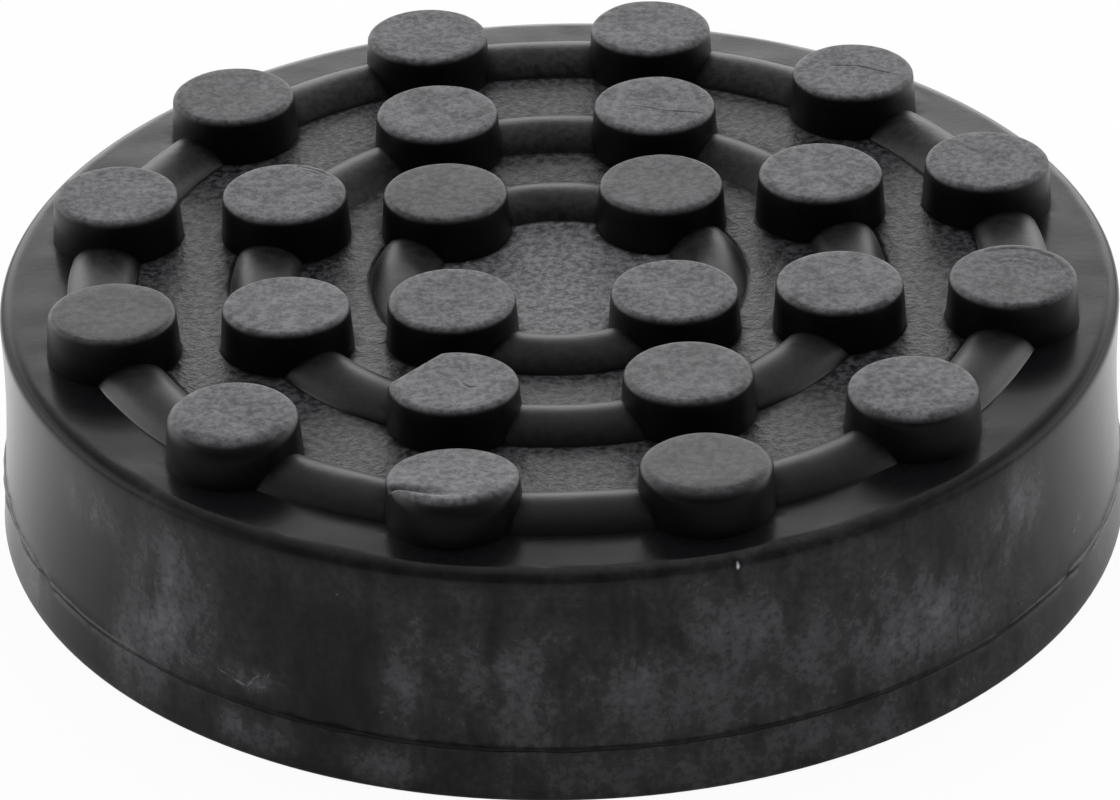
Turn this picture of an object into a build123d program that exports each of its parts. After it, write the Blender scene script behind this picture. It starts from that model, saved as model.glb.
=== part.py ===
from build123d import *
from math import radians, tan
import os

os.makedirs("parts", exist_ok=True)

# Lift arm rubber pad: a single moulding of solid black rubber, in millimetres.
# The origin is the centre of the flat underside, and the studs point up.

# Body: a thick round disc
body_height = 26.0      # underside to the rim of the top face
rim_radius = 58.9       # wall just under the top rim
seam_radius = 59.5      # wall at the mould's parting line
foot_radius = 60.05     # wall at the underside, before its bevel
seam_height = 6.0       # parting line above the underside
flash_stand = 0.3       # how far the flash stands out at the parting line
flash_width = 1.0       # height of the flash bead up the wall
rim_bevel = 1.0         # where the wall turns over to the top face
foot_bevel = 0.6        # at the bottom edge

# Studs: round pegs in three rings, each ring with its own radius and number
outer_ring_radius = 48.2
middle_ring_radius = 31.0
inner_ring_radius = 16.3
outer_stud_count = 12
middle_stud_count = 8
inner_stud_count = 4
stud_radius = 6.6       # at the top face of a stud
stud_height = 5.0       # above the top face of the body
stud_draft = 4.0        # lean of a stud's wall, in degrees
stud_edge = 0.5         # bevel round the top of a stud
stud_root = 1.5         # how deep a stud's form reaches into the body

# Beads: low round ribs that run from stud to stud along each ring
bead_width = 7.2        # across the foot of a bead
bead_height = 2.2       # above the top face of the body
bead_sides = 16         # flats that make up a bead's round section

# Moulding faults: on one middle and one outer stud the rubber has not filled a
# corner, which leaves a flat facet. A facet's side is counted in degrees from
# the stud's outward side, and its lean from upright.
middle_fault_stud = 5
middle_facet_side = -111.0
middle_facet_reach = 4.5    # from the stud's centre line to the facet, at the top
middle_facet_lean = 40.0
outer_fault_stud = 8
outer_facet_side = 45.0
outer_facet_reach = 5.3
outer_facet_lean = 45.0


# A stud is turned on its own origin, a little wider at the foot than at the top
with BuildPart() as stud:
    lean_per_mm = tan(radians(stud_draft))
    with BuildSketch(Plane.XZ):
        with BuildLine():
            Polyline(
                (0, -stud_root),
                (stud_radius + (stud_height + stud_root) * lean_per_mm, -stud_root),
                (stud_radius + stud_edge * lean_per_mm, stud_height - stud_edge),
                (stud_radius - stud_edge, stud_height),
                (0, stud_height),
                close=True,
            )
        make_face()
    revolve(axis=Axis.Z)


def facet_plane(side, reach, lean):
    """Plane of a facet, facing out from the stud and tipped up by its lean."""
    facing = Vector(1, 0, 0).rotate(Axis.Y, -lean).rotate(Axis.Z, side)
    at_top = Vector(reach, 0, stud_height).rotate(Axis.Z, side)
    return Plane(origin=at_top, z_dir=facing)


with BuildPart() as middle_faulty_stud:
    add(stud.part)
    split(bisect_by=facet_plane(middle_facet_side, middle_facet_reach, middle_facet_lean), keep=Keep.BOTTOM)

with BuildPart() as outer_faulty_stud:
    add(stud.part)
    split(bisect_by=facet_plane(outer_facet_side, outer_facet_reach, outer_facet_lean), keep=Keep.BOTTOM)

# Each ring: its radius, its number of studs, and the studs that have a fault
stud_rings = [
    (outer_ring_radius, outer_stud_count, {outer_fault_stud: outer_faulty_stud}),
    (middle_ring_radius, middle_stud_count, {middle_fault_stud: middle_faulty_stud}),
    (inner_ring_radius, inner_stud_count, {}),
]

with BuildPart() as rubber_pad:
    # The disc is turned from half of its section. The flash stands out at the
    # parting line, and the beads are round bars sunk until their feet have the set width.
    bead_radius = (bead_width**2 / 4 + bead_height**2) / (2 * bead_height)
    with BuildSketch(Plane.XZ) as section:
        with BuildLine():
            Polyline(
                (0, 0),
                (foot_radius, 0),
                (seam_radius, seam_height - flash_width / 2),
                (seam_radius + flash_stand, seam_height),
                (seam_radius, seam_height + flash_width / 2),
                (rim_radius, body_height),
                (0, body_height),
                close=True,
            )
        make_face()
        chamfer(section.vertices().group_by(Axis.Y)[-1].sort_by(Axis.X)[-1], length=rim_bevel)
        chamfer(section.vertices().group_by(Axis.Y)[0].sort_by(Axis.X)[-1], length=foot_bevel)
        for ring_radius, stud_count, faulty_studs in stud_rings:
            with Locations((ring_radius, body_height + bead_height - bead_radius)):
                RegularPolygon(bead_radius, bead_sides)
    revolve(axis=Axis.Z)

    # The studs of a ring stand half a pitch either side of the axes
    for ring_radius, stud_count, faulty_studs in stud_rings:
        pitch = 360 / stud_count
        with Locations((0, 0, body_height)):
            for number in range(stud_count):
                with PolarLocations(ring_radius, 1, start_angle=(number + 0.5) * pitch):
                    add(faulty_studs.get(number, stud).part)

rubber_pad.part.label = "rubber_pad"
export_step(rubber_pad.part, "parts/rubber_pad.step")
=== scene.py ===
from math import asin, atan2, ceil, copysign, cos, degrees, exp, hypot, pi, radians, sin, tan

import bmesh
import bpy
from mathutils import Matrix, Vector, noise


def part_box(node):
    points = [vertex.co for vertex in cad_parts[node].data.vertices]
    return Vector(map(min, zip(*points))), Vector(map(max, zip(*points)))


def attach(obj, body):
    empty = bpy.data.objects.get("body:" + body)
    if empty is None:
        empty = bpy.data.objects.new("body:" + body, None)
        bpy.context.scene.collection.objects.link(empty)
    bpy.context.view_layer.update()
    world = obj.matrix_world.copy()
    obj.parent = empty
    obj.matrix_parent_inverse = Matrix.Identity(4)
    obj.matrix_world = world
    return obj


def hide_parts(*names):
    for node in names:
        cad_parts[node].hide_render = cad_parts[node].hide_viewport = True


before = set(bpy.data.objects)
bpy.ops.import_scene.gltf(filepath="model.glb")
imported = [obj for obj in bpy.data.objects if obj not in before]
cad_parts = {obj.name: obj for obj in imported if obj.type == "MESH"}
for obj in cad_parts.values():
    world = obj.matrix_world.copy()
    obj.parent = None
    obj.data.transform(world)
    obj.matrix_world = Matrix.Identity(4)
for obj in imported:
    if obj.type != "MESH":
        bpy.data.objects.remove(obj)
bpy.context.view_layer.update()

# The disc of the pad
# The thick round body of one moulding in solid black rubber, pressed in a mould of two halves. They met
# near the foot of the wall and left a thin line of flash there. The top has sunk a little as it cooled,
# and carries three round beads that run below the studs.
mm = 0.001
lowest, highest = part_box("rubber_pad")
foot_radius = highest[0]
rim_level = highest[2] - 5.0 * mm
rim_radius = 58.9 * mm
rim_round = 1.45 * mm
foot_round = 0.6 * mm
waist_radius = 58.8 * mm       # the wall is drawn in a little between its rim and the flash
waist_height = 19.0 * mm
seam_radius = 59.5 * mm        # wall beside the flash
seam_height = 6.0 * mm
flash_stand = 0.3 * mm
flash_width = 0.8 * mm
sunk_depth = 0.75 * mm         # how far the middle of the top lies below its rim
ring_radii = {"inner": 16.3 * mm, "middle": 31.0 * mm, "outer": 48.2 * mm}
bead_width = 7.2 * mm
bead_height = 2.2 * mm
bead_radius = (bead_width**2 / 4 + bead_height**2) / (2 * bead_height)
row_spacing = 2.0 * mm         # widest step between two rows of the disc's mesh
first_row = 0.4 * mm           # the first row beside the foot of a bead
wall_rows = 20
bead_steps = 18
rim_steps = 8
disc_steps = 192


def top_level(radius):
    """Height of the sunk top between its beads, at a distance from the axis."""
    return rim_level - sunk_depth * max(0.0, 1 - (radius / ring_radii["outer"]) ** 2) ** 2


def wall_radius(height):
    """Radius of the wall between the flash and the rim, where it is a little waisted."""
    if height < waist_height:
        along = (height - seam_height) / (waist_height - seam_height)
        return seam_radius + (waist_radius - seam_radius) * sin(along * pi / 2)
    along = (height - waist_height) / (rim_level - rim_round - waist_height)
    return waist_radius + (rim_radius - waist_radius) * along**2


def arc(centre, radius, start, end, steps):
    """Points of an arc in the (radius, height) plane, from one angle in degrees to another."""
    turns = [radians(start + (end - start) * step / steps) for step in range(steps + 1)]
    return [(centre[0] + radius * cos(turn), centre[1] + radius * sin(turn)) for turn in turns]


def rows(start, end, count):
    """Evenly spaced points between two points of a profile, both left out."""
    shares = [step / count for step in range(1, count)]
    return [(start[0] + (end[0] - start[0]) * s, start[1] + (end[1] - start[1]) * s) for s in shares]


def sunk_rows(start, end):
    """Points of the sunk top between two radii, both left out."""
    inset = copysign(first_row, end - start)
    spaced = rows((start + inset, 0), (end - inset, 0), ceil(abs(end - start) / row_spacing))
    spaced = [(start + inset, 0)] + spaced + [(end - inset, 0)]
    return [(radius, top_level(radius)) for radius, height in spaced]


def turned(profile, steps):
    """A closed form turned about Z from (radius, height) points that start and end on the axis."""
    form = bmesh.new()
    points = [form.verts.new((radius, 0, height)) for radius, height in profile]
    edges = [form.edges.new(pair) for pair in zip(points, points[1:])]
    bmesh.ops.spin(
        form, geom=points + edges, cent=(0, 0, 0), axis=(0, 0, 1), angle=2 * pi, steps=steps, use_merge=True
    )
    bmesh.ops.remove_doubles(form, verts=form.verts, dist=0.0005 * mm)
    if form.calc_volume(signed=True) < 0:
        bmesh.ops.reverse_faces(form, faces=form.faces)
    return form


def mesh_object(name, form):
    """A new object with its mesh from a finished bmesh."""
    mesh = bpy.data.meshes.new(name)
    form.to_mesh(mesh)
    form.free()
    piece = bpy.data.objects.new(name, mesh)
    bpy.context.scene.collection.objects.link(piece)
    return piece


section = [(0, 0)] + rows((0, 0), (foot_radius - foot_round, 0), 5)
section += arc((foot_radius - foot_round, foot_round), foot_round, -90, 0, 5)
section += rows(section[-1], (seam_radius, seam_height - flash_width / 2), 5)
section += [(seam_radius, seam_height - flash_width / 2)]
section += [(seam_radius + flash_stand / 3, seam_height - flash_width / 4)]
section += [(seam_radius + flash_stand, seam_height - flash_width / 10)]
section += [(seam_radius + flash_stand, seam_height + flash_width / 10)]
section += [(seam_radius + flash_stand / 3, seam_height + flash_width / 4)]
wall_foot = seam_height + flash_width / 2
wall_top = rim_level - rim_round
for row in range(wall_rows):
    height = wall_foot + (wall_top - wall_foot) * row / wall_rows
    section += [(wall_radius(height), height)]
section += arc((rim_radius - rim_round, wall_top), rim_round, 0, 90, rim_steps)
for ring_radius in sorted(ring_radii.values(), reverse=True):
    bead_centre = (ring_radius, top_level(ring_radius) + bead_height - bead_radius)
    foot_angle = degrees(atan2(bead_radius - bead_height, bead_width / 2))
    bead = arc(bead_centre, bead_radius, foot_angle, 180 - foot_angle, bead_steps)
    section += sunk_rows(section[-1][0], bead[0][0]) + bead
section += sunk_rows(section[-1][0], 0) + [(0, top_level(0))]
pad = mesh_object("rubber_pad_moulding", turned(section, disc_steps))

# The studs
# Twenty-four round pegs of the same moulding, in rings of four, eight and twelve. Each leans in a little to
# leave its mould. Two lack a corner, where the rubber did not fill the mould, and a few show fine folds
# where cold rubber met, or marks of the tool that cut the mould.
stud_counts = {"inner": 4, "middle": 8, "outer": 12}
stud_heights = {"inner": 4.3 * mm, "middle": 4.75 * mm, "outer": 5.0 * mm}    # above the rim
stud_radius = 6.6 * mm
stud_draft = tan(radians(4.0))
stud_root = 2.5 * mm           # how deep a stud's form reaches below the rim
stud_edge = 0.7 * mm
worn_edges = {("outer", 5): 0.9 * mm, ("outer", 7): 1.0 * mm, ("outer", 9): 0.9 * mm, ("middle", 6): 0.8 * mm}
worn_fronts = {                # the worn edges of these studs grow to this towards the front
    ("outer", 7): 2.2 * mm, ("outer", 8): 1.9 * mm, ("outer", 9): 1.6 * mm, ("outer", 10): 1.3 * mm,
}
sunk_backs = {                 # how far the back of a stud's top lies below its front
    ("outer", 8): 1.4 * mm, ("outer", 9): 0.65 * mm, ("outer", 6): 0.35 * mm, ("middle", 5): 0.6 * mm,
    ("middle", 6): 0.4 * mm, ("middle", 4): 0.45 * mm, ("outer", 10): 0.2 * mm,
}
stud_steps = 72
facet_round = 0.4 * mm         # round the edge of a facet left by a missing corner
fall_start = 1.5 * mm          # a softened corner falls away from this height above the rim
fine_depth = 2.0 * mm          # the mesh is made finer for a fold down to this below a stud's top
fold_depth = 2.6 * mm          # and the fold is pressed in down to this


def stud_form(stud, height):
    """One stud about its own axis, with the level of the rim at 0. Its edge may be rounder in front."""
    form = bmesh.new()
    worn = worn_edges.get(stud, stud_edge)
    sections = []
    for step in range(stud_steps):
        turn = 2 * pi * step / stud_steps
        edge = worn + (worn_fronts.get(stud, worn) - worn) * max(0.0, -sin(turn)) ** 1.5
        shoulder = (stud_radius + edge * stud_draft, height - edge)
        foot = (stud_radius + (height + stud_root) * stud_draft, -stud_root)
        profile = rows((0, height), (shoulder[0] - edge, height), 6)
        profile += list(reversed(arc((shoulder[0] - edge, shoulder[1]), edge, 0, 90, 6)))
        profile += rows(shoulder, foot, 7) + [foot]
        sections.append([form.verts.new((r * cos(turn), r * sin(turn), z)) for r, z in profile])
    middle = form.verts.new((0, 0, height))
    bottom = form.verts.new((0, 0, -stud_root))
    for one, other in zip(sections, sections[1:] + sections[:1]):
        form.faces.new((middle, one[0], other[0]))
        form.faces.new((bottom, other[-1], one[-1]))
        for a, b, c, d in zip(one, one[1:], other[1:], other):
            form.faces.new((a, b, c, d))
    bmesh.ops.recalc_face_normals(form, faces=form.faces)
    for point in form.verts:
        backward = 0.5 + 0.5 * point.co.y / stud_radius
        point.co.z -= sunk_backs.get(stud, 0.0) * backward * max(0.0, point.co.z) / height
    return form


def cut_corner(form, height, side, reach, lean):
    """Cuts a flat facet on a stud. Its side is a bearing on the part's axes, and its lean is from upright."""
    turn = Matrix.Rotation(radians(side), 3, "Z")
    facing = turn @ Vector((cos(radians(lean)), 0, sin(radians(lean))))
    cut = bmesh.ops.bisect_plane(
        form, geom=form.verts[:] + form.edges[:] + form.faces[:], plane_co=turn @ Vector((reach, 0, height)),
        plane_no=facing, clear_outer=True,
    )
    rim = [part for part in cut["geom_cut"] if isinstance(part, bmesh.types.BMEdge)]
    bmesh.ops.holes_fill(form, edges=rim)
    bmesh.ops.bevel(form, geom=rim, offset=facet_round, affect="EDGES", segments=4, profile=0.5, material=-1)


def soften_corner(form, height, side, reach, width, drop):
    """Lets a stud's top fall away in a soft slope past a line, whose side is a bearing on the part's axes."""
    for point in form.verts:
        past = point.co.x * cos(radians(side)) + point.co.y * sin(radians(side)) - reach
        if past > 0 and point.co.z > fall_start:
            point.co.z -= drop * (past / width) ** 2 * (point.co.z - fall_start) / (height - fall_start)


def smooth_path(points, steps=4):
    """A smooth path through a few points, as a curve of cubic pieces."""
    ends = [points[0]] + list(points) + [points[-1]]
    path = []
    for a, b, c, d in zip(ends, ends[1:], ends[2:], ends[3:]):
        for step in range(steps):
            t = step / steps
            path += [Vector(b) + (Vector(c) - Vector(a)) * (t / 2)
                     + (2 * Vector(a) - 5 * Vector(b) + 4 * Vector(c) - Vector(d)) * (t**2 / 2)
                     + (3 * Vector(b) - Vector(a) - 3 * Vector(c) + Vector(d)) * (t**3 / 2)]
    return path + [Vector(points[-1])]


def beside_path(path, spot):
    """Signed distance of a spot from a path, positive on its left, and its share of the way along."""
    nearest, travelled = None, 0.0
    for start, end in zip(path, path[1:]):
        step = end - start
        share = min(1.0, max(0.0, (spot - start).dot(step) / step.length_squared))
        off = spot - start - share * step
        if nearest is None or off.length < nearest[0]:
            nearest = (off.length, step.x * off.y - step.y * off.x, travelled + share * step.length)
        travelled += step.length
    return (nearest[0] if nearest[1] >= 0 else -nearest[0]), nearest[2] / travelled


def press_fold(form, top, points, width, depth, lip=0.0, step=0.0, fade_in=0.15, fade_out=0.3):
    """Presses a fine fold into a stud's top along a path in millimetres. On the path's right there may be
    a lip, and the rubber beyond may lie a step lower. The mesh beside the path is made finer first."""
    path = smooth_path([(x * mm, y * mm) for x, y in points])
    for _ in range(5):
        coarse = {}
        for face in form.faces:
            middle = face.calc_center_median()
            size = max(edge.calc_length() for edge in face.edges)
            if size < 0.7 * width or middle.z < top - fine_depth:
                continue
            if abs(beside_path(path, middle.xy)[0]) < 2 * width + 0.7 * size:
                coarse.update(dict.fromkeys(face.edges))
        if coarse:
            bmesh.ops.subdivide_edges(form, edges=list(coarse), cuts=1, use_grid_fill=True)
    for point in form.verts:
        if point.co.z > top - fold_depth:
            side, share = beside_path(path, point.co.xy)
            strength = min(1.0, share / fade_in) * min(1.0, (1 - share) / fade_out)
            groove = depth * exp(-((2 * side / width) ** 2))
            ridge = lip * exp(-((1.25 * side / width + 1.4) ** 2))
            below = step / (1 + exp(8 * side / width))
            point.co.z += strength * (ridge - groove - below)


def tool_arc(radius, start, end):
    """Points in millimetres of an arc about a stud's own axis, from one bearing in degrees to another."""
    return [(radius * cos(radians(turn)), radius * sin(radians(turn))) for turn in range(start, end + 1, 10)]


def mark_stud(form, stud, top):
    """The faults, folds and tool marks of one stud, on the part's own axes about the stud's centre."""
    if stud == ("middle", 5):
        cut_corner(form, top, side=136.5, reach=4.5 * mm, lean=40.0)
        press_fold(form, top, [(0.7, 0.9), (0.8, -0.2), (1.2, -1.0), (1.7, -1.4), (2.6, -1.4)],
                   0.3 * mm, 0.12 * mm, lip=0.04 * mm, fade_in=0.3)
    if stud == ("outer", 8):
        soften_corner(form, top, side=-60.0, reach=4.7 * mm, width=1.5 * mm, drop=0.55 * mm)
        press_fold(form, top, [(-7.0, -1.5), (-4.8, -2.2), (-2.5, -3.3), (-0.6, -4.0), (1.6, -4.4)],
                   0.75 * mm, 0.55 * mm, lip=0.18 * mm, step=0.12 * mm, fade_in=0.01, fade_out=0.9)
    if stud == ("outer", 1):
        press_fold(form, top, [(-3.0, 0.8), (-1.8, 1.2), (-0.3, 1.1), (1.0, 0.8), (2.3, 0.1), (3.6, -0.8),
                               (5.2, -1.8)], 0.2 * mm, 0.1 * mm, lip=0.03 * mm, fade_in=0.3)
    if stud == ("middle", 1):
        press_fold(form, top, [(-4.8, 0.2), (-3.2, -0.2), (-1.8, -0.6), (0.0, -1.4), (1.4, -1.9), (3.8, -2.4),
                               (6.1, -2.7)], 0.2 * mm, 0.1 * mm, lip=0.03 * mm, fade_in=0.6, fade_out=0.2)
    if stud == ("middle", 3):
        press_fold(form, top, tool_arc(5.7, 30, 80), 0.25 * mm, 0.08 * mm)
        press_fold(form, top, tool_arc(5.1, 40, 70), 0.25 * mm, 0.06 * mm)
    if stud == ("outer", 5):
        for radius in (2.9, 3.7, 4.5):
            press_fold(form, top, tool_arc(radius, 30, 130), 0.35 * mm, 0.035 * mm, fade_in=0.3)
    if stud == ("outer", 11):
        for radius in (2.6, 3.5):
            press_fold(form, top, tool_arc(radius, -20, 160), 0.35 * mm, 0.025 * mm, fade_in=0.3)
        press_fold(form, top, tool_arc(5.3, -20, 130), 0.35 * mm, 0.05 * mm, lip=0.04 * mm)
    if stud == ("outer", 7):
        press_fold(form, top, [(-2.9, 0.2), (-2.1, 1.1), (-1.2, 0.1), (-1.9, -1.3)], 0.4 * mm, 0.05 * mm)


all_studs = bmesh.new()
for ring, stud_count in stud_counts.items():
    for number in range(stud_count):
        bearing = (number + 0.5) * 2 * pi / stud_count
        form = stud_form((ring, number), stud_heights[ring])
        mark_stud(form, (ring, number), stud_heights[ring])
        form.transform(Matrix.Translation(
            (ring_radii[ring] * cos(bearing), ring_radii[ring] * sin(bearing), rim_level)
        ))
        single = bpy.data.meshes.new("single_stud")
        form.to_mesh(single)
        form.free()
        all_studs.from_mesh(single)
        bpy.data.meshes.remove(single)
studs = mesh_object("studs", all_studs)

join = pad.modifiers.new("join studs", "BOOLEAN")
join.operation = "UNION"
join.solver = "MANIFOLD"
join.object = studs
joined = bpy.data.meshes.new_from_object(pad.evaluated_get(bpy.context.evaluated_depsgraph_get()))
pad.modifiers.clear()
pad.data = joined
bpy.data.objects.remove(studs)

# The moulding's surface
# Rubber never comes out of its mould quite true: the top and the studs waver by a few hundredths of a
# millimetre, and the flash is uneven. The tops of the studs and the floor between the rings are grainy and
# matt, the beads and the walls smooth. Pale bloom and dust lie on the wall in patches, with a few scuffs.
# A few of the wall's patches are painted light instead: painted reflections low at its left and right ends
# and a painted lighter band under the rim. The beads get more grain and dust towards the back, which is
# painted light that makes the back beads paler.
waver = 0.05 * mm
broad_waver = 4.0 * mm         # lengths over which the top and the studs waver
fine_waver = 1.3 * mm
flash_waver = 0.14 * mm        # how far the flash wanders up and down
flash_rise = 6.0 * mm          # lengths over which the flash wanders and its edge frays
flash_fray = 3.5 * mm
stud_foot = stud_radius + 6.0 * mm * stud_draft    # a stud's points lie within this of its axis
hair = 0.01 * mm               # slack where two sizes are compared
grainy_radius = 52.0 * mm      # the floor outside this is smooth
matt_depth = 0.4 * mm          # the matt skin of a stud's top ends this far down its edge
dull_studs = {                 # studs whose tops carry less dust, and their share of it
    ("inner", 0): 0.65, ("inner", 1): 0.6, ("middle", 6): 0.8, ("outer", 4): 0.75, ("outer", 6): 0.42,
    ("outer", 9): 0.45, ("outer", 11): 0.8,
}
wall_dust_and_light_patches = [               # bearing in degrees, height, half width and half height in mm, strength
    # Most are pale dust. Painted light: (-110.0, 22.5) and (-88.0, 23.6) paint a lighter band under the rim,
    # and (-163.0, 3.5) and (-17.0, 3.5) paint reflections low at the wall's left and right ends.
    (-140.0, 5.0, 4.0, 4.0, 0.6), (-134.5, 15.0, 4.5, 8.0, 0.55), (-124.3, 9.0, 2.6, 1.5, 0.7),
    (-124.0, 3.2, 4.5, 2.2, 0.65), (-147.0, 20.0, 5.0, 3.0, 0.35), (-108.0, 14.0, 3.0, 6.5, 0.5),
    (-110.0, 2.5, 4.5, 2.2, 0.5), (-97.0, 13.0, 7.0, 5.0, 0.45), (-96.0, 7.5, 2.2, 2.4, 0.45),
    (-84.0, 14.0, 3.2, 3.5, 0.4), (-76.0, 17.0, 4.0, 8.0, 0.4), (-61.0, 13.0, 4.0, 4.5, 0.45),
    (-53.0, 11.0, 5.0, 5.0, 0.5), (-41.0, 19.0, 4.5, 4.5, 0.6), (-72.0, 12.0, 34.0, 12.0, 0.4),
    (-72.0, 2.0, 34.0, 3.0, 0.35), (-134.0, 12.0, 14.0, 12.0, 0.19), (-20.0, 12.0, 12.0, 10.0, 0.14),
    (-138.0, 8.0, 3.5, 5.0, 0.35), (-110.0, 22.5, 14.0, 3.0, 0.13), (-163.0, 3.5, 7.0, 4.0, 0.75),
    (-17.0, 3.5, 7.0, 4.0, 0.7), (-88.0, 23.6, 42.0, 1.0, 0.09), (150.0, 12.0, 14.0, 8.0, 0.5),
    (112.0, 9.0, 10.0, 6.0, 0.45), (75.0, 15.0, 12.0, 6.0, 0.4), (40.0, 12.0, 14.0, 9.0, 0.5),
    (5.0, 9.0, 10.0, 7.0, 0.5),
]
small_marks = [                # scuffs: bearing, height, length and width in mm, lean in degrees, strength
    (-127.4, 8.7, 1.3, 0.16, -10, 0.55), (-125.6, 8.2, 1.1, 0.22, -12, 0.9), (-124.3, 8.5, 0.9, 0.2, 50, 0.8),
    (-123.6, 9.4, 1.0, 0.18, 35, 0.7), (-123.1, 8.4, 0.8, 0.16, 20, 0.6), (-122.2, 10.0, 0.7, 0.14, 60, 0.5),
    (-114.4, 21.5, 0.2, 0.2, 0, 0.5), (-75.4, 25.0, 0.26, 0.6, 0, 4.5), (-65.6, 7.9, 0.4, 0.25, 0, 0.5),
    (-40.8, 7.5, 0.4, 0.25, 0, 0.5), (-29.7, 10.1, 0.7, 0.35, 30, 0.6), (-28.6, 10.8, 0.5, 0.25, 60, 0.5),
    (-20.4, 7.1, 0.6, 0.35, 40, 0.6), (-110.2, 8.8, 0.5, 0.15, 20, 0.5), (-103.5, 9.0, 0.4, 0.12, 70, 0.4),
]


def patch_strength(spot):
    """How much pale film, and in a few patches painted light, lies on the wall at a spot, from 0 to 1."""
    bearing = degrees(atan2(spot.y, spot.x))
    clean = 1.0
    for patch_bearing, height, half_width, half_height, strength in wall_dust_and_light_patches:
        across = (bearing - patch_bearing + 180) % 360 - 180
        across = radians(across) * rim_radius / (half_width * mm)
        upward = (spot.z - height * mm) / (half_height * mm)
        clean *= 1 - strength * exp(-((across**2 + upward**2) ** 1.3))
    return 1 - clean


# The slivers that the joining of the studs leaves are dissolved, the wall gets points enough for its dust and
# painted light, and pairs of faces that lie back to back on the same three points are taken out, as they hold
# no rubber.
noise.seed_set(5)
form = bmesh.new()
form.from_mesh(pad.data)
bmesh.ops.dissolve_degenerate(form, edges=form.edges, dist=0.003 * mm)
wall_edges = [
    edge for edge in form.edges
    if abs(edge.verts[0].co.z - edge.verts[1].co.z) < hair
    and min(hypot(point.co.x, point.co.y) for point in edge.verts) > rim_radius - 0.5 * mm
    and edge.verts[0].co.z > 0.1 * mm
]
bmesh.ops.subdivide_edges(form, edges=wall_edges, cuts=1, smooth=0.0)
bmesh.ops.triangulate(form, faces=form.faces)
faces_on = {}
for face in form.faces:
    faces_on.setdefault(frozenset(face.verts), []).append(face)
back_to_back = [face for faces in faces_on.values() if len(faces) > 1 for face in faces]
bmesh.ops.delete(form, geom=back_to_back, context="FACES")
matt = form.verts.layers.float.new("matt")          # skin of the studs' tops
raised = form.verts.layers.float.new("raised")      # studs and beads
grain_and_painted_light = form.verts.layers.float.new("grain_and_painted_light")      # floors between the rings, and beads, whose grain grows towards the back as painted light
bloom_and_painted_light = form.verts.layers.float.new("bloom_and_painted_light")        # pale dust on the wall, and painted light in a few patches
dulled = form.verts.layers.float.new("dulled")      # where the rubber has lost some of its sheen
for point in form.verts:
    radius = hypot(point.co.x, point.co.y)
    if radius > rim_radius - rim_round + hair:
        point[bloom_and_painted_light] = patch_strength(point.co)
        if point.co.z > wall_top:
            turned_over = asin(min(1.0, (point.co.z - wall_top) / rim_round))
            point[dulled] = sin(2 * turned_over) * abs(point.co.x) / radius
        if radius > seam_radius + 0.05 * mm and abs(point.co.z - seam_height) < flash_width / 4 + hair:
            point[bloom_and_painted_light] *= 0.4 if point.co.z > seam_height else 0.0
            point[dulled] = 0.3 if point.co.z > seam_height else 0.8
            uneven = noise.noise(Vector((point.co.x, point.co.y, 0)) / flash_fray)
            point.co.z += flash_waver * noise.noise(Vector((point.co.x, point.co.y, 9 * mm)) / flash_rise)
            point.co.xy *= 1 + (flash_stand / seam_radius) * (0.8 * uneven - 0.1)
        continue
    if point.co.z < seam_height:
        continue
    ring = min(ring_radii, key=lambda name: abs(ring_radii[name] - radius))
    pitch = 2 * pi / stud_counts[ring]
    bearing = (atan2(point.co.y, point.co.x) // pitch + 0.5) * pitch
    stud_y = ring_radii[ring] * sin(bearing)
    off_centre = hypot(point.co.x - ring_radii[ring] * cos(bearing), point.co.y - stud_y)
    above = point.co.z - top_level(radius)
    if off_centre < stud_foot:
        stud = (ring, int(bearing % (2 * pi) // pitch))
        backward = 0.5 + 0.5 * (point.co.y - stud_y) / stud_radius
        drop = rim_level + stud_heights[ring] - sunk_backs.get(stud, 0.0) * backward - point.co.z
        dust_share = dull_studs.get(stud, 1.0)
        point[raised] = 1.0
        point[matt] = min(1.0, max(0.0, 1.4 - drop / matt_depth)) * dust_share
        point[dulled] = 0.12 + 0.25 * (1 - dust_share) + 0.4 * min(1.0, max(0.0, drop / mm - 0.5))
    elif above > 0.06 * mm:
        point[raised] = 1.0
        # Painted light: the beads take more grain and dust towards the back, so the back beads render paler.
        point[grain_and_painted_light] = 0.14 + 0.12 * point.co.y / rim_radius
    elif radius > grainy_radius:
        point[grain_and_painted_light] = 0.03
        point[dulled] = 0.3 * max(0.0, -point.co.y / rim_radius) ** 2
    elif abs(radius - ring_radii[ring]) > bead_width / 2 + 0.1 * mm:
        point[grain_and_painted_light] = 0.8
        point[matt] = 0.8 if radius < ring_radii["inner"] else 0.0
    broad = noise.noise_vector(point.co / broad_waver)
    fine = noise.noise_vector(point.co / fine_waver + Vector((7, 7, 7)))
    point.co += waver * (broad + 0.35 * fine)
form.to_mesh(pad.data)
form.free()
pad.data.shade_smooth()
pad.data.set_sharp_from_angle(angle=radians(38))


def add(tree, kind, links_in=(), **values):
    """A node with its settings, and its inputs by name or number as values or as other nodes' outputs."""
    node = tree.nodes.new(kind)
    for name, value in values.items():
        setattr(node, name, value)
    for name, value in links_in:
        if isinstance(value, bpy.types.NodeSocket):
            tree.links.new(value, node.inputs[name])
        else:
            node.inputs[name].default_value = value
    return node


def sum_of(tree, *terms):
    """Sum of values, each of them a number, an output or a product of two."""
    total = None
    for term in terms:
        if isinstance(term, tuple):
            term = add(tree, "ShaderNodeMath", [(0, term[0]), (1, term[1])], operation="MULTIPLY").outputs[0]
        if total is not None:
            term = add(tree, "ShaderNodeMath", [(0, total), (1, term)], operation="ADD").outputs[0]
        total = term
    return total


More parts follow.
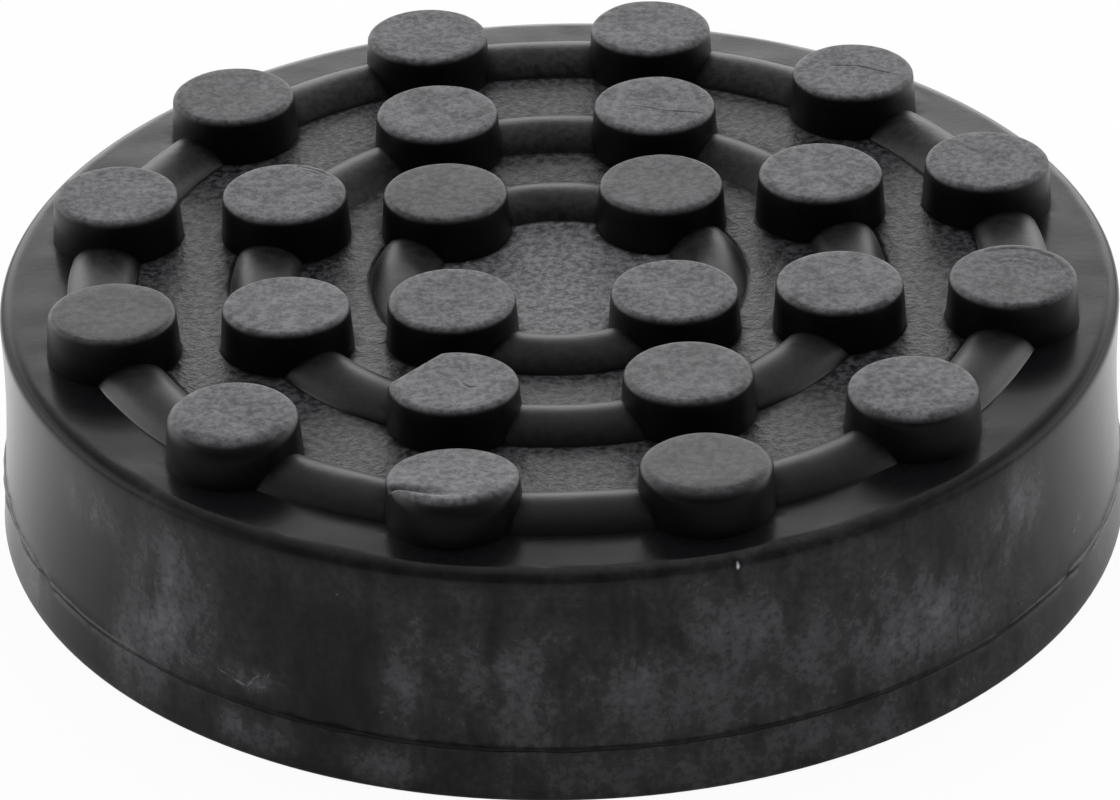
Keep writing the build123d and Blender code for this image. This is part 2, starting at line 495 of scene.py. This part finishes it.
def ranged(tree, value, low, high, to_low, to_high):
    """A value from one range put into another, and held within it."""
    pairs = [("Value", value), ("From Min", low), ("From Max", high), ("To Min", to_low), ("To Max", to_high)]
    return add(tree, "ShaderNodeMapRange", pairs, interpolation_type="SMOOTHSTEP").outputs[0]


def speckle(tree, place, size, detail, roughness=0.5, distortion=0.0):
    """Noise from 0 to 1 whose spots are about a given size."""
    pairs = [("Vector", place), ("Scale", 0.5 / size), ("Detail", detail), ("Roughness", roughness),
             ("Distortion", distortion)]
    return add(tree, "ShaderNodeTexNoise", pairs).outputs[0]


bare_black = (0.0034, 0.0032, 0.004, 1)
# The pale grey of dust, which also paints light on the wall and the beads
dust_and_light_grey = (0.192, 0.184, 0.199, 1)
rubber = bpy.data.materials.new("black_rubber")
rubber.use_nodes = True
tree = rubber.node_tree
shader = tree.nodes["Principled BSDF"]
place = add(tree, "ShaderNodeTexCoord").outputs["Object"]
matt_mask = add(tree, "ShaderNodeAttribute", attribute_name="matt").outputs["Fac"]
grain_and_painted_light_mask = add(tree, "ShaderNodeAttribute", attribute_name="grain_and_painted_light").outputs["Fac"]
raised_mask = add(tree, "ShaderNodeAttribute", attribute_name="raised").outputs["Fac"]
bloom_and_painted_light_mask = add(tree, "ShaderNodeAttribute", attribute_name="bloom_and_painted_light").outputs["Fac"]
dulled_mask = add(tree, "ShaderNodeAttribute", attribute_name="dulled").outputs["Fac"]
upright = add(tree, "ShaderNodeMapping", [("Vector", place), ("Scale", (1.0, 1.0, 0.5))]).outputs[0]
grain = speckle(tree, place, 0.2 * mm, 2, 0.6)
mottle = speckle(tree, place, 0.42 * mm, 3, 0.7)
cloud = speckle(tree, upright, 1.7 * mm, 3, 0.55, 0.3)
broad = speckle(tree, place, 5.0 * mm, 3)
cloudy = ranged(tree, cloud, 0.15, 0.85, 0.05, 1.15)
speckled = ranged(tree, mottle, 0.2, 0.8, 0.45, 1.55)
# Pale dust on the wall, with painted reflections and a painted lighter band in a few of its patches
wall_dust_and_painted_light = sum_of(tree, (bloom_and_painted_light_mask, sum_of(tree, (cloudy, speckled))))
wall_spots = 0.0
for bearing, height, length, width, lean, strength in small_marks:
    point = (rim_radius * cos(radians(bearing)), rim_radius * sin(radians(bearing)), height * mm)
    turns = (radians(lean), 0.0, radians(bearing))
    pairs = [("Vector", place), ("Location", point), ("Rotation", turns)]
    pairs += [("Scale", (mm, length * mm, width * mm))]
    local = add(tree, "ShaderNodeMapping", pairs, vector_type="TEXTURE").outputs[0]
    away = add(tree, "ShaderNodeVectorMath", [(0, local)], operation="LENGTH").outputs["Value"]
    frayed = sum_of(tree, away, (mottle, -1.0))
    wall_spots = sum_of(tree, wall_spots, ranged(tree, frayed, -0.5, 0.5, strength, 0.0))
smeared = ranged(tree, cloud, 0.3, 0.7, -0.1, 0.1)
top_dust = sum_of(tree, smeared, ranged(tree, mottle, 0.34, 0.66, 0.22, 0.64))
# Dust on the floors; on the beads, where it grows towards the back, it is painted light
floor_dust_and_bead_light = ranged(tree, mottle, 0.34, 0.66, 0.0, 0.38)
# The pale colour mixes real dust with painted light on the wall and the beads
dust_and_painted_light = sum_of(tree, wall_dust_and_painted_light, wall_spots, (matt_mask, top_dust), (grain_and_painted_light_mask, floor_dust_and_bead_light), (0.02, broad))
colour = add(tree, "ShaderNodeMix", [("Factor", dust_and_painted_light)], data_type="RGBA", clamp_factor=False)
colour.inputs["A"].default_value = bare_black
colour.inputs["B"].default_value = dust_and_light_grey
tree.links.new(colour.outputs["Result"], shader.inputs["Base Color"])
roughness = sum_of(tree, 0.21, (matt_mask, 0.15), (grain_and_painted_light_mask, 0.2), (raised_mask, 0.19), (wall_dust_and_painted_light, 0.25))
tree.links.new(roughness, shader.inputs["Roughness"])
shader.inputs["IOR"].default_value = 1.38
sheen_level = sum_of(tree, 0.5, (dulled_mask, -0.46), (raised_mask, 0.06))
tree.links.new(sheen_level, shader.inputs["Specular IOR Level"])
grain_strength = sum_of(tree, 0.08, (grain_and_painted_light_mask, 1.9), (matt_mask, 0.6))
relief = sum_of(tree, (grain_strength, sum_of(tree, (grain, 0.5), mottle)))
bump = add(tree, "ShaderNodeBump", [("Height", relief), ("Strength", 1.0), ("Distance", 0.06 * mm)])
tree.links.new(bump.outputs[0], shader.inputs["Normal"])
pad.data.materials.clear()
pad.data.materials.append(rubber)
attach(pad, "root")
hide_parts("rubber_pad")

# The studio
# A pale floor in a white room that is bright low down, mostly behind the pad, and dark overhead, as round
# a table before a lit backdrop. A wide soft lamp hangs above and behind the pad.
floor_radius = 6.0             # in metres
floor_gap = 0.02 * mm          # keeps the floor clear of the pad's underside
scene = bpy.context.scene
floor_form = bmesh.new()
bmesh.ops.create_circle(floor_form, cap_ends=True, segments=64, radius=floor_radius)
bmesh.ops.translate(floor_form, verts=floor_form.verts, vec=(0, 0, -floor_gap))
studio_floor = mesh_object("studio_floor", floor_form)


def show_white(tree, plain, out, camera_share, reflected_share, reflected_white=1.0):
    """Mixes white into what the camera and the reflections see of the floor or the room."""
    path = add(tree, "ShaderNodeLightPath").outputs
    glossy_pairs = [(0, path["Is Glossy Ray"]), (1, path["Is Transmission Ray"])]
    reflected = add(tree, "ShaderNodeMath", glossy_pairs, operation="MAXIMUM").outputs[0]
    share = sum_of(tree, (path["Is Camera Ray"], camera_share), (reflected, reflected_share))
    level = sum_of(tree, path["Is Camera Ray"], (reflected, reflected_white))
    white = add(tree, "ShaderNodeEmission", [("Color", (1, 1, 1, 1)), ("Strength", level)])
    mix = add(tree, "ShaderNodeMixShader", [(0, share), (1, plain), (2, white.outputs[0])])
    tree.links.new(mix.outputs[0], out.inputs["Surface"])


floor_paint = bpy.data.materials.new("studio_floor")
floor_paint.use_nodes = True
tree = floor_paint.node_tree
tree.nodes.clear()
pale = add(tree, "ShaderNodeBsdfDiffuse", [("Color", (0.85, 0.85, 0.85, 1))])
place = add(tree, "ShaderNodeTexCoord").outputs["Object"]
along = add(tree, "ShaderNodeSeparateXYZ", [(0, place)]).outputs["Y"]
far_white = ranged(tree, along, -55 * mm, 35 * mm, 0.27, 1.22)    # dim in front of the pad, bright behind
show_white(tree, pale.outputs[0], add(tree, "ShaderNodeOutputMaterial"), 0.95, 0.8, far_white)
studio_floor.data.materials.append(floor_paint)

world = bpy.data.worlds.new("studio")
scene.world = world
world.use_nodes = True
tree = world.node_tree
tree.nodes.clear()
place = add(tree, "ShaderNodeTexCoord").outputs["Generated"]
direction = add(tree, "ShaderNodeSeparateXYZ", [(0, place)]).outputs
over = add(tree, "ShaderNodeMath", [(0, direction["Z"]), (1, direction["Y"])], operation="ARCTAN2").outputs[0]
overhead = ranged(tree, over, radians(69), radians(130), 0.73, 0.1)    # fades from the back to the front
low_down = ranged(tree, direction["Z"], sin(radians(24.5)), sin(radians(30.9)), 1.0, 0.0)
behind = ranged(tree, direction["Y"], -0.6, 0.7, 0.0, 3.1)
room = add(tree, "ShaderNodeBackground", [("Strength", sum_of(tree, overhead, (low_down, behind)))])
show_white(tree, room.outputs[0], add(tree, "ShaderNodeOutputWorld"), 1.0, 0.0)

lamp_aim = Vector((0, 0, 20 * mm))
lamp_place = Vector((0.0, 0.2, 1.4))
soft_lamp = bpy.data.lights.new("soft_lamp", "AREA")
soft_lamp.size = 1.6
soft_lamp.energy = 10.0
holder = bpy.data.objects.new("soft_lamp", soft_lamp)
holder.visible_glossy = False
scene.collection.objects.link(holder)
lamp_turn = (lamp_place - lamp_aim).to_track_quat("Z", "Y").to_matrix().to_4x4()
holder.matrix_world = Matrix.Translation(lamp_place) @ lamp_turn

# The camera
# It stands where the photograph was taken from, about 0.63 m from the pad's top and 30 degrees above it, with
# a lens long enough for the pad to fill the picture.
camera_distance = 625.5 * mm
camera_elevation = radians(29.62)
camera_pitch = radians(30.83)
camera_roll = radians(-1.32)
camera_turn = radians(-1.98)
lens = bpy.data.cameras.new("camera")
lens.sensor_width = 36
lens.lens = 190.74
lens.shift_x = -0.0015
lens.clip_start = 0.05
camera = bpy.data.objects.new("camera", lens)
scene.collection.objects.link(camera)
turn = Matrix.Rotation(camera_turn, 4, "Z")
stand = Vector((0, -camera_distance * cos(camera_elevation), camera_distance * sin(camera_elevation)))
tilt = Matrix.Rotation(pi / 2 - camera_pitch, 4, "X") @ Matrix.Rotation(camera_roll, 4, "Z")
camera.matrix_world = Matrix.Translation(turn @ stand + Vector((0, 0, rim_level))) @ turn @ tilt
scene.camera = camera
scene.view_settings.view_transform = "Standard"
